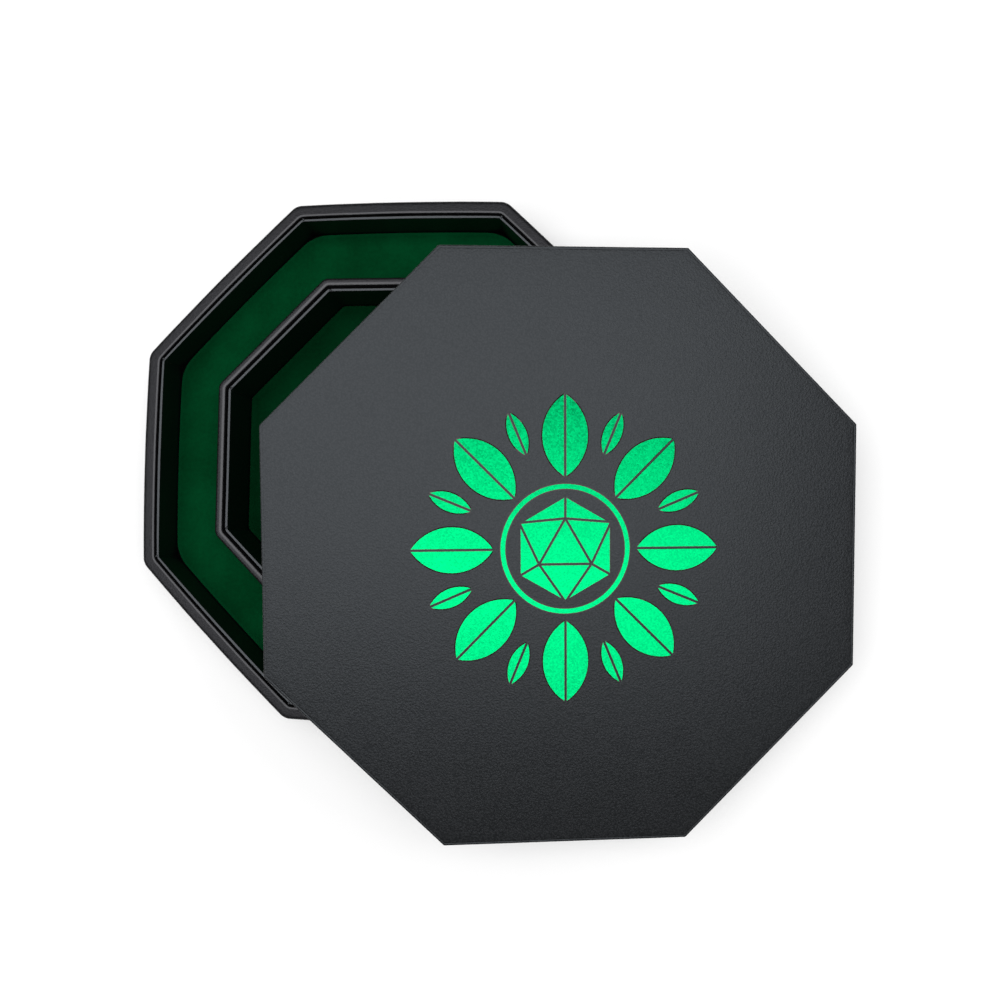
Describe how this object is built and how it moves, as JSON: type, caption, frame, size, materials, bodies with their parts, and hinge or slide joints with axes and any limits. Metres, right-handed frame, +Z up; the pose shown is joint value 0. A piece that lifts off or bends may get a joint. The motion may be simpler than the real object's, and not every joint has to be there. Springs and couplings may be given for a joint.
{
  "type": "dice tray",
  "caption": "Octagonal leatherette dice tray with a felted rolling well, a raised staging ring round it, and a telescoping lid leaning half off its rim.",
  "frame": {"origin": "centre of the tray's flat underside, on the table", "axes": "+Z up, +X to the right along the tray's flat side, +Y to the back; the lid lies to the right and front"},
  "size_m": [0.3918, 0.3449, 0.0846],
  "materials": {
    "leatherette": "fine grain, satin black",
    "liner_leatherette": "fine grain, satin black, over thin board",
    "green_velvet": "short velvet nap, dark green",
    "pad_board": "matt black card",
    "fibre_board": "raw fibre board",
    "black_paper": "matt black sheet",
    "lining_paper": "matt black lining paper",
    "green_foil": "bright metallic hot-stamped foil"
  },
  "bodies": {
    "tray": {"base_board": "fibre_board", "bottom_sheet": "black_paper", "ring_liner_1": "liner_leatherette", "ring_liner_2": "liner_leatherette", "ring_liner_3": "liner_leatherette", "ring_liner_4": "liner_leatherette", "ring_liner_5": "liner_leatherette", "ring_liner_6": "liner_leatherette", "ring_liner_7": "liner_leatherette", "ring_liner_8": "liner_leatherette", "ring_wall_board_1": "fibre_board", "ring_wall_board_2": "fibre_board", "ring_wall_board_3": "fibre_board", "ring_wall_board_4": "fibre_board", "ring_wall_board_5": "fibre_board", "ring_wall_board_6": "fibre_board", "ring_wall_board_7": "fibre_board", "ring_wall_board_8": "fibre_board", "ring_wrap": "leatherette", "rolling_felt": "green_velvet", "rolling_pad": "pad_board", "staging_felt": "green_velvet", "staging_riser": "pad_board", "tray_liner_1": "liner_leatherette", "tray_liner_2": "liner_leatherette", "tray_liner_3": "liner_leatherette", "tray_liner_4": "liner_leatherette", "tray_liner_5": "liner_leatherette", "tray_liner_6": "liner_leatherette", "tray_liner_7": "liner_leatherette", "tray_liner_8": "liner_leatherette", "tray_wall_board_1": "fibre_board", "tray_wall_board_2": "fibre_board", "tray_wall_board_3": "fibre_board", "tray_wall_board_4": "fibre_board", "tray_wall_board_5": "fibre_board", "tray_wall_board_6": "fibre_board", "tray_wall_board_7": "fibre_board", "tray_wall_board_8": "fibre_board", "tray_wrap": "leatherette"},
    "lid": {"lid_ceiling_lining": "lining_paper", "lid_print": "green_foil", "lid_side_board_1": "fibre_board", "lid_side_board_2": "fibre_board", "lid_side_board_3": "fibre_board", "lid_side_board_4": "fibre_board", "lid_side_board_5": "fibre_board", "lid_side_board_6": "fibre_board", "lid_side_board_7": "fibre_board", "lid_side_board_8": "fibre_board", "lid_side_lining": "lining_paper", "lid_top_board": "fibre_board", "lid_wrap": "leatherette"}
  },
  "joints": [
    {"name": "lid_lift", "type": "slide", "parent": "tray", "child": "lid", "axis": [0, 0, 1], "range_m": [0, 0.12]}
  ]
}
